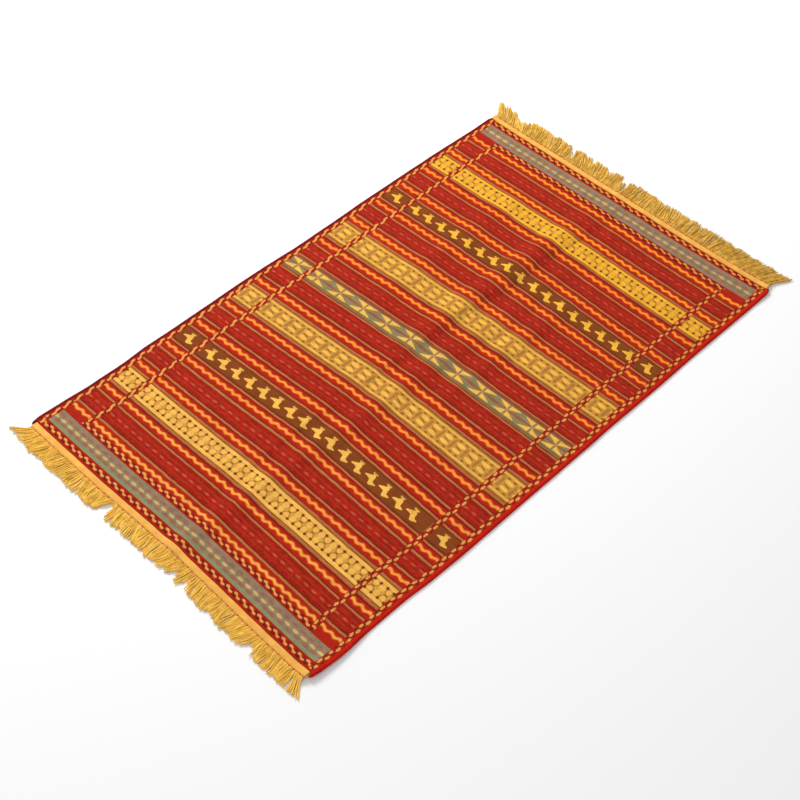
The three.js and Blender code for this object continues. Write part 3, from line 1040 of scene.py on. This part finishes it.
class CLOTH_OT_build(bpy.types.Operator):
    """Builds the woven cloth with its bands, borders, selvedges and folds, once its tapes and
    fringes are there"""

    bl_idname = "rug.woven_cloth"
    bl_label = "Woven Cloth"

    def execute(self, context):
        bands, strips = bands_along(), strips_across()
        coarse_x, owner_x = grid_lines(bands)
        coarse_y, owner_y = grid_lines(strips)
        fine_x, fine_y = with_midpoints(coarse_x), with_midpoints(coarse_y)
        fine_owner_x, fine_owner_y = np.repeat(owner_x, 2), np.repeat(owner_y, 2)

        flat_x, flat_y = np.meshgrid(fine_x, fine_y, indexing="ij")
        x, y = outline_point(flat_x, flat_y)
        band_swell = swell_along(bands, fine_x, fine_owner_x, [band[2] for band in bands])
        strip_kinds = {"inner": "field", "side": "field", "inner_rope": "rope", "outer_rope": "rope"}
        kinds = [strip_kinds.get(strip[2], "rope") for strip in strips]
        strip_swell = swell_along(strips, fine_y, fine_owner_y, kinds)
        relief = np.minimum(band_swell[:, None], strip_swell[None, :]) + unevenness(flat_x, flat_y)
        left = rim_drop(flat_x, flat_y)
        top_z = lift(x, y) + fold(x, y) + (THICKNESS + relief + roll(flat_y)) * left - FACE_SINK
        top = np.stack([x, y, top_z], -1).reshape(-1, 3)

        under = (slice(None, None, 2), slice(None, None, 2))
        low_z = lift(x[under], y[under]) + fold(x[under], y[under]) + RIM_RISE * (1 - left[under])
        low = np.stack([x[under], y[under], low_z], -1).reshape(-1, 3)
        points = np.concatenate([top, low])

        def quads(columns, rows, first, upwards):
            i, j = np.meshgrid(np.arange(columns - 1), np.arange(rows - 1), indexing="ij")
            corner = (first + i * rows + j).ravel()
            faces = np.stack([corner, corner + rows, corner + rows + 1, corner + 1], 1)
            return faces if upwards else faces[:, ::-1]

        columns, rows = len(fine_x), len(fine_y)
        low_columns, low_rows = len(coarse_x), len(coarse_y)
        upper = quads(columns, rows, 0, True)
        lower = quads(low_columns, low_rows, len(top), False)
        fine_rim, coarse_rim = self.rim(columns, rows, 0), self.rim(low_columns, low_rows, len(top))
        next_coarse, next_fine = np.roll(coarse_rim, -1), np.roll(fine_rim, -2)[::2]
        wall = np.stack([coarse_rim, next_coarse, next_fine, fine_rim[1::2], fine_rim[::2]], 1)
        piece = make_mesh("woven_cloth_surface", points, [upper, lower, wall])

        dyes = context.scene.rug_dyes
        for _, finish in FINISHES:
            piece.data.materials.append(finish(dyes))
        owners = (fine_owner_x, fine_owner_y, owner_x, owner_y)
        all_x = np.concatenate([flat_x.ravel(), flat_x[under].ravel()])
        all_y = np.concatenate([flat_y.ravel(), flat_y[under].ravel()])
        self.map_bands(piece.data, bands, strips, owners, len(wall), all_x, all_y)
        finish_piece(piece, None, "banded_wool", "woven_cloth")
        return {"FINISHED"}

    @staticmethod
    def rim(columns, rows, first):
        """Points round the rim of a grid, anticlockwise from above."""
        i, j = np.arange(columns), np.arange(rows)
        return first + np.concatenate([
            i[:-1] * rows, (columns - 1) * rows + j[:-1], i[:0:-1] * rows + rows - 1, j[:0:-1],
        ])

    @staticmethod
    def map_bands(mesh, bands, strips, owners, walls, flat_x, flat_y):
        """Gives each face its finish, and each face corner its place across and along its band
        and its place on the threads of the whole cloth."""
        fine_x, fine_y, coarse_x, coarse_y = owners
        table = [[face_kind(band, strip) for strip in strips] for band in bands]
        slot, drawn, centre_x, centre_y, turned = (
            np.array([[value(cell) for cell in row] for row in table])
            for value in (
                lambda cell: SLOTS[cell[0]],
                lambda cell: DRAWN_WIDTHS.get(cell[0], 0.0),
                lambda cell: cell[1],
                lambda cell: cell[2],
                lambda cell: cell[3],
            )
        )
        wide = np.array([[stop - start] for start, stop, *_ in bands])
        stretch = np.where(drawn > 0, drawn / wide, 1.0)

        band = np.concatenate([np.repeat(fine_x, len(fine_y)), np.repeat(coarse_x, len(coarse_y))])
        strip = np.concatenate([np.tile(fine_y, len(fine_x)), np.tile(coarse_y, len(coarse_x))])
        faces = len(band)
        mesh.polygons.foreach_set("material_index", np.append(slot[band, strip], np.zeros(walls, int)))

        corners = np.zeros(len(mesh.loops), np.int32)
        mesh.loops.foreach_get("vertex_index", corners)
        face_of = np.repeat(np.arange(faces), 4)
        at_x, at_y = flat_x[corners[: 4 * faces]], flat_y[corners[: 4 * faces]]
        cell = (band[face_of], strip[face_of])
        across = np.where(turned[cell], at_y - centre_y[cell], (at_x - centre_x[cell]) * stretch[cell])
        along = np.where(turned[cell], at_x - centre_x[cell], at_y - centre_y[cell])
        wall_corners = len(corners) - 4 * faces
        band_map = np.zeros((len(corners), 2), np.float32)
        band_map[: 4 * faces] = np.stack([across, along], 1)
        band_map[4 * faces:] = np.stack([np.zeros(wall_corners), flat_x[corners[4 * faces:]]], 1)
        thread_map = np.stack([flat_x[corners], flat_y[corners]], 1).astype(np.float32)
        for name, values in (("BandMap", band_map), ("ThreadMap", thread_map)):
            layer = mesh.uv_layers.new(name=name)
            layer.uv.foreach_set("vector", values.ravel())


def carried_section(name, section, path_x, path_y, path_z, end):
    """A closed solid: a section of out-and-up points is carried along Y at each station."""
    stations, sides = len(path_y), len(section)
    out, up = section[:, 0], section[:, 1]
    x = end * (path_x[:, None] + out[None, :])
    y = np.repeat(path_y[:, None], sides, 1)
    z = path_z[:, None] + up[None, :]
    points = np.stack([x, y, z], -1).reshape(-1, 3)
    i, j = np.meshgrid(np.arange(stations - 1), np.arange(sides), indexing="ij")
    beside = (j + 1) % sides
    here, after = i * sides, (i + 1) * sides
    faces = np.stack([here + j, here + beside, after + beside, after + j], -1).reshape(-1, 4)
    caps = np.array([np.arange(sides)[::-1], (stations - 1) * sides + np.arange(sides)])
    if end < 0:
        faces, caps = faces[:, ::-1], caps[:, ::-1]
    piece = make_mesh(name, points, [faces, caps])
    place = piece.data.attributes.new("place_out", "FLOAT", "POINT")
    place.data.foreach_set("value", np.tile(out - out.max(), stations).astype(np.float32))
    return piece


def yarn_material(name, colour, dark, twist_pitch):
    """Soft spun yarn: its colour varies slowly over the rug and quickly along the fibres, it has painted
    shade towards the rug's +X end, and each yarn has its own shade."""
    yarn = Finish(name)
    place = yarn.object_place()
    along_rug, _ = yarn.parts(place)
    own = yarn.attribute("yarn_shade")
    fibres = yarn.noise(place, 1 / (twist_pitch * MM), 2.0)
    patches = yarn.noise(place, 95.0, 2.0)
    # along_rug adds painted shade towards the rug's +X end
    amount = (own - 0.5) * 0.5 + (patches - 0.5) * 1.5 + (fibres - 0.5) * 0.5 + along_rug * 0.3 + 0.35
    mixed = yarn.mix(amount.limited(), colour, dark)
    height = fibres * (FIBRE_HEIGHT * MM)
    return yarn.connect(mixed, height, bump_strength=0.5, roughness=0.8, specular=0.15, sheen=0.05)


def tape_material(dyes):
    """Smooth tape with fine ribs across it, with painted light on their crests, and worn red thread
    showing along its outer edge.
    """
    tape = Finish("end_tape_yarn")
    place = tape.object_place()
    _, along = tape.parts(place)
    ribs = (along * (2 * math.pi / (TAPE_RIB * MM))).sine()
    blotches = tape.noise(place, 45.0, 4.0)
    # The ribs' crests are painted lighter: painted light on the ribs
    amount = (blotches - 0.42) * 1.6 + ribs * 0.08
    plain = tape.mix(amount.limited(), dyes.tape[:], dyes.fringe[:])
    worn = (blotches - 0.5) * 1.2 + 0.7
    seam = tape.attribute("place_out").over(-SEAM_WIDTH, 1.6) * worn
    stained = tape.mix(seam.limited(), plain, dyes.seam[:])
    height = ribs * (TAPE_RIB_HEIGHT * MM)
    return tape.connect(stained, height, bump_strength=0.5, roughness=0.75, specular=0.15, sheen=0.05)


def tape_span(place, sizes):
    """Width of one end's tape in millimetres."""
    return sizes.tape_width / MM + place["wider"]


def tape_edge(place, sizes, y):
    """Distance from the origin to the outer edge of one end's tape at y."""
    return end_reach(y, place["end"]) + SEAM_GAP + tape_span(place, sizes)


class TAPES_OT_build(bpy.types.Operator):
    """Builds the crowned tape sewn across each short end"""

    bl_idname = "rug.end_tapes"
    bl_label = "End Tapes"

    def execute(self, context):
        sizes = context.scene.rug_sizes
        height = sizes.tape_height / MM
        material = tape_material(context.scene.rug_dyes)
        turn = np.linspace(0, np.pi, 11)
        for place in ENDS:
            end = place["end"]
            width = tape_span(place, sizes)
            crown = np.stack([
                width / 2 - (width / 2 + 0.5) * np.cos(turn),
                0.5 + (height - 0.5) * np.sin(turn) ** 0.45,
            ], 1)
            section = np.concatenate([[[0.3, 0.0]], crown, [[width - 0.3, 0.0]]])
            y = np.linspace(-TAPE_HALF_SPAN, TAPE_HALF_SPAN, TAPE_STATIONS)
            wobble = 0.35 * np.sin(y / 9 + place["phase"]) + 0.25 * np.sin(y / 23)
            inner = end_reach(y, end) + SEAM_GAP + 0.4 * wobble
            height_at = lift(end * (inner + width / 2), y)
            piece = carried_section(f"{place['name']}_tape", section, inner, y, height_at, end)
            finish_piece(piece, material, "gold_yarn", f"{place['name']}_tape_fringe")
        return {"FINISHED"}


def path_frames(paths):
    """Directions at each step of many paths: level and square to the path, and square to both."""
    forward = np.gradient(paths, axis=1)
    forward /= np.linalg.norm(forward, axis=2, keepdims=True)
    aside = np.cross(forward, np.array([0.0, 0.0, 1.0]))
    aside /= np.linalg.norm(aside, axis=2, keepdims=True).clip(1e-9)
    return aside, np.cross(aside, forward)


def tubes(paths, reach, sides, closing):
    """Round tubes along many paths at once. At each step the ring lies square to the path, and
    its reach shrinks to the closing share at both tips."""
    count, steps, _ = paths.shape
    aside, upward = path_frames(paths)
    turn = np.linspace(0, 2 * np.pi, sides, endpoint=False)
    size = np.broadcast_to(reach, (count, steps)).copy()
    size[:, 0] *= closing
    size[:, -1] *= closing
    ring = np.cos(turn)[:, None] * aside[:, :, None, :] + np.sin(turn)[:, None] * upward[:, :, None, :]
    points = paths[:, :, None, :] + size[:, :, None, None] * ring
    first = np.arange(count)[:, None, None] * steps * sides
    i = np.arange(steps - 1)[None, :, None]
    j = np.arange(sides)[None, None, :]
    here = first + i * sides + j
    beside = first + i * sides + (j + 1) % sides
    faces = np.stack([here, beside, beside + sides, here + sides], -1).reshape(-1, 4)
    start = (first[:, 0] + np.arange(sides)[None, ::-1])
    stop = (first[:, 0] + (steps - 1) * sides + np.arange(sides)[None, :])
    return points.reshape(-1, 3), [faces, start, stop]


class FRINGE_OT_build(bpy.types.Operator):
    """Builds the two-ply fringe yarns of both ends, lying in clumps on the surface"""

    bl_idname = "rug.fringe"
    bl_label = "Fringe"

    def execute(self, context):
        sizes = context.scene.rug_sizes
        dyes = context.scene.rug_dyes
        material = yarn_material("fringe_yarn", dyes.fringe[:], dyes.umber[:], 1.6)
        for place in ENDS:
            self.build_end(place, sizes, material)
        return {"FINISHED"}

    def build_end(self, place, sizes, material):
        random = np.random.default_rng(SEED + place["end"])
        width = sizes.yarn_width / MM

        under, _ = self.yarn_paths(
            place, sizes, random, count=LOWER_YARNS, steps=10, reach=0.94, spread=0.5, height=0.0,
        )
        upper, along = self.yarn_paths(
            place, sizes, random, count=sizes.yarn_count, steps=18, reach=1.0, spread=1.0, height=1.0,
        )
        count = len(upper)
        aside, upward = path_frames(upper)
        turns = 2 * np.pi * along / PLY_TURN + random.uniform(0, 2 * np.pi, count)[:, None]
        plies = []
        for half_turn in (0, np.pi):
            angle = turns + half_turn
            off = np.cos(angle)[..., None] * aside + np.sin(angle)[..., None] * upward
            plies.append(upper + off * width * PLY_OFFSET)
        upper_points, upper_faces = tubes(
            np.concatenate(plies), width * PLY_REACH, sides=4, closing=0.4,
        )
        under_points, under_faces = tubes(under, width * LOWER_REACH, sides=5, closing=0.4)
        points = np.concatenate([upper_points, under_points])
        faces = upper_faces + [group + len(upper_points) for group in under_faces]
        points[:, 2] = points[:, 2].clip(0.02, None)
        piece = make_mesh(f"{place['name']}_fringe", points, faces)

        shade = np.tile(random.uniform(0, 1, count), 2)
        # The lower layer's shades run higher, which darkens it: painted shade under the upper yarns
        shades = np.concatenate([
            np.repeat(shade, len(upper_points) // (2 * count)),
            np.repeat(random.uniform(0.5, 1.1, len(under)), len(under_points) // len(under)),
        ])
        attribute = piece.data.attributes.new("yarn_shade", "FLOAT", "POINT")
        attribute.data.foreach_set("value", shades.astype(np.float32))
        finish_piece(piece, material, "gold_yarn", f"{place['name']}_tape_fringe")

    @staticmethod
    def yarn_paths(place, sizes, random, count, steps, reach, spread, height):
        """Paths of a layer of yarns, and how far along its yarn each step lies. Each yarn leaves
        the tape's outer edge and comes down to the surface over the first third of its length.
        Its tip lies aside by the end's own lean at that place and two sine waves along the tape,
        which draw the yarns into locks, and it leans away from the notches."""
        end, phase = place["end"], place["phase"]
        width = sizes.yarn_width / MM
        full_turn = 2 * np.pi
        root = np.linspace(-FRINGE_HALF_SPAN, FRINGE_HALF_SPAN, count) + random.uniform(-1.6, 1.6, count)
        sway = sum(
            pull * np.sin(full_turn * root / wave + times * phase) for pull, wave, times in LOCK_WAVES
        )
        loss = np.zeros(count)
        lean = soft_line(place["stations"], place["leans"], root) + sway * spread
        for centre, half, depth in place["notches"]:
            loss = loss + depth * crest(root - centre, half)
            lean = lean + np.sign(root - centre) * crest(root - centre, half * 1.5) * depth**2 * 7
        tip = (root + lean + random.normal(0, TIP_STRAY, count) * spread).clip(*TIP_REACH)

        scallops = 1.5 * np.sin(full_turn * root / 52 + phase) + 1.1 * np.sin(full_turn * root / 23 + 1)
        length = place["length"] + scallops + random.uniform(-1.5, 1.3, count)
        length = length * (1 - loss.clip(0, 0.85)) * reach
        start = tape_edge(place, sizes, root) - ROOT_INSET
        outward = np.sqrt((length**2 - 0.6 * (tip - root) ** 2).clip(0.02 * length**2, None))
        outward = np.minimum(outward, place["limit"] - start)

        share = np.linspace(0, 1, steps)[None, :]
        along = outward[:, None] * share
        bend = full_turn * (0.75 * share + root[:, None] / 47) + random.normal(0, 0.5, count)[:, None]
        curl = CURL_REACH * (np.sin(bend) - np.sin(bend[:, :1]))
        x = start[:, None] + along
        y = root[:, None] + (tip - root)[:, None] * share**1.3 + curl * share
        ripple = np.sin(full_turn * (root[:, None] / 16.5 + 0.45 * share) + phase)
        ripple = RIPPLE_HEIGHT * (1 + ripple)
        own_height = height * (0.9 + random.uniform(0, 1.3, count))[:, None]
        layer = own_height * np.clip(1.25 - share, 0, 1) ** 0.5
        layer = layer + height * ripple * np.sin(np.pi * share)
        ground = lift(end * start, root)[:, None] * (1 - np.clip(share / 0.6, 0, 1)) ** 2
        fall = (2.2 - 0.6 * height) * (1 - np.clip(share / 0.34, 0, 1)) ** 1.5
        rise = 0.3 + 0.7 * np.clip(share / 0.12, 0, 1) ** 0.5
        z = ground + width * 0.5 + (layer + fall) * rise
        return np.stack([end * x, y, z], -1), along


class STITCHES_OT_build(bpy.types.Operator):
    """Builds the brown stitches in a row along the seam between each tape and its fringe"""

    bl_idname = "rug.stitches"
    bl_label = "Tape Stitches"

    def execute(self, context):
        sizes = context.scene.rug_sizes
        dyes = context.scene.rug_dyes
        material = yarn_material("stitch_yarn", dyes.seam[:], dyes.brown[:], 1.2)
        pitch = sizes.stitch_pitch / MM
        for place in ENDS:
            random = np.random.default_rng(SEED + 9 + place["end"])
            end = place["end"]
            y = np.arange(-STITCH_HALF_SPAN, STITCH_HALF_SPAN, pitch)
            y = y + random.uniform(-1.6, 1.6, len(y))
            x = tape_edge(place, sizes, y) - STITCH_INSET + random.uniform(-0.6, 0.6, len(y))
            ground = lift(end * x, y)
            share = np.linspace(0, 1, 7)
            slant = random.uniform(-1.0, 1.0, len(y))
            half = random.uniform(1.4, 3.2, len(y))
            path_x = x[:, None] + slant[:, None] * (share - 0.5) * 2
            path_y = y[:, None] + half[:, None] * (share - 0.5) * 2
            path_z = ground[:, None] + STITCH_LEVEL + STITCH_RISE * np.sin(np.pi * share)
            paths = np.stack([end * path_x, path_y, path_z], -1)
            reach = STITCH_REACH * np.sin(np.pi * (0.12 + 0.76 * share))
            points, faces = tubes(paths, reach, sides=6, closing=0.5)
            piece = make_mesh(f"{place['name']}_stitches", points, faces)
            finish_piece(piece, material, "banded_wool")
        return {"FINISHED"}


class STAGE_OT_build(bpy.types.Operator):
    """Builds the pale floor, the soft studio light and the camera"""

    bl_idname = "rug.stage"
    bl_label = "Stage"

    def execute(self, context):
        scene = context.scene
        square = ((-1, -1), (1, -1), (1, 1), (-1, 1))
        corners = np.array([[x * FLOOR_HALF, y * FLOOR_HALF, -FLOOR_DROP] for x, y in square])
        floor = make_mesh("floor", corners, [np.array([[0, 1, 2, 3]])], smooth=False)
        material = bpy.data.materials.new("pale_floor")
        material.use_nodes = True
        shader = material.node_tree.nodes["Principled BSDF"]
        shader.inputs["Base Color"].default_value = (0.9, 0.9, 0.9, 1)
        shader.inputs["Roughness"].default_value = 0.9
        floor.data.materials.append(material)

        world = bpy.data.worlds.new("studio")
        world.use_nodes = True
        background = world.node_tree.nodes["Background"]
        background.inputs["Color"].default_value = (1, 1, 1, 1)
        background.inputs["Strength"].default_value = SKY_STRENGTH
        scene.world = world
        for light in LIGHTS:
            self.add_light(*light)

        data = bpy.data.cameras.new("camera")
        data.sensor_width = SENSOR_WIDTH
        data.lens = LENS
        data.clip_end = 50.0
        camera = bpy.data.objects.new("camera", data)
        scene.collection.objects.link(camera)
        camera.location = Vector(CAMERA_PLACE)
        towards = Vector(CAMERA_TARGET) - camera.location
        camera.rotation_mode = "QUATERNION"
        roll = Quaternion((0, 0, 1), math.radians(CAMERA_ROLL))
        camera.rotation_quaternion = towards.to_track_quat("-Z", "Y") @ roll
        scene.camera = camera
        scene.view_settings.view_transform = "Standard"
        return {"FINISHED"}

    @staticmethod
    def add_light(name, place, size, power):
        data = bpy.data.lights.new(name, "AREA")
        data.shape = "SQUARE"
        data.size = size
        data.energy = power
        light = bpy.data.objects.new(name, data)
        bpy.context.scene.collection.objects.link(light)
        light.location = place
        light.rotation_mode = "QUATERNION"
        light.rotation_quaternion = (-Vector(place)).to_track_quat("-Z", "Y")


class RUG_PT_panel(bpy.types.Panel):
    """Lists the rug's builders"""

    bl_idname = "RUG_PT_panel"
    bl_label = "Banded Rug"
    bl_space_type = "VIEW_3D"
    bl_region_type = "UI"
    bl_category = "Rug"

    def draw(self, context):
        for builder in BUILDERS:
            self.layout.operator(builder.bl_idname)
        for group in (context.scene.rug_sizes, context.scene.rug_dyes):
            for name in group.__annotations__:
                self.layout.prop(group, name)


BUILDERS = (STAGE_OT_build, TAPES_OT_build, STITCHES_OT_build, FRINGE_OT_build, CLOTH_OT_build)
CLASSES = (RugDyes, RugSizes, *BUILDERS, RUG_PT_panel)


def register():
    for each in CLASSES:
        bpy.utils.register_class(each)
    bpy.types.Scene.rug_dyes = PointerProperty(type=RugDyes)
    bpy.types.Scene.rug_sizes = PointerProperty(type=RugSizes)


def unregister():
    del bpy.types.Scene.rug_sizes
    del bpy.types.Scene.rug_dyes
    for each in reversed(CLASSES):
        bpy.utils.unregister_class(each)


def main():
    """Builds the stage and every piece."""
    register()
    bpy.ops.rug.stage()
    bpy.ops.rug.end_tapes()
    bpy.ops.rug.stitches()
    bpy.ops.rug.fringe()
    bpy.ops.rug.woven_cloth()


if __name__ == "__main__":
    main()
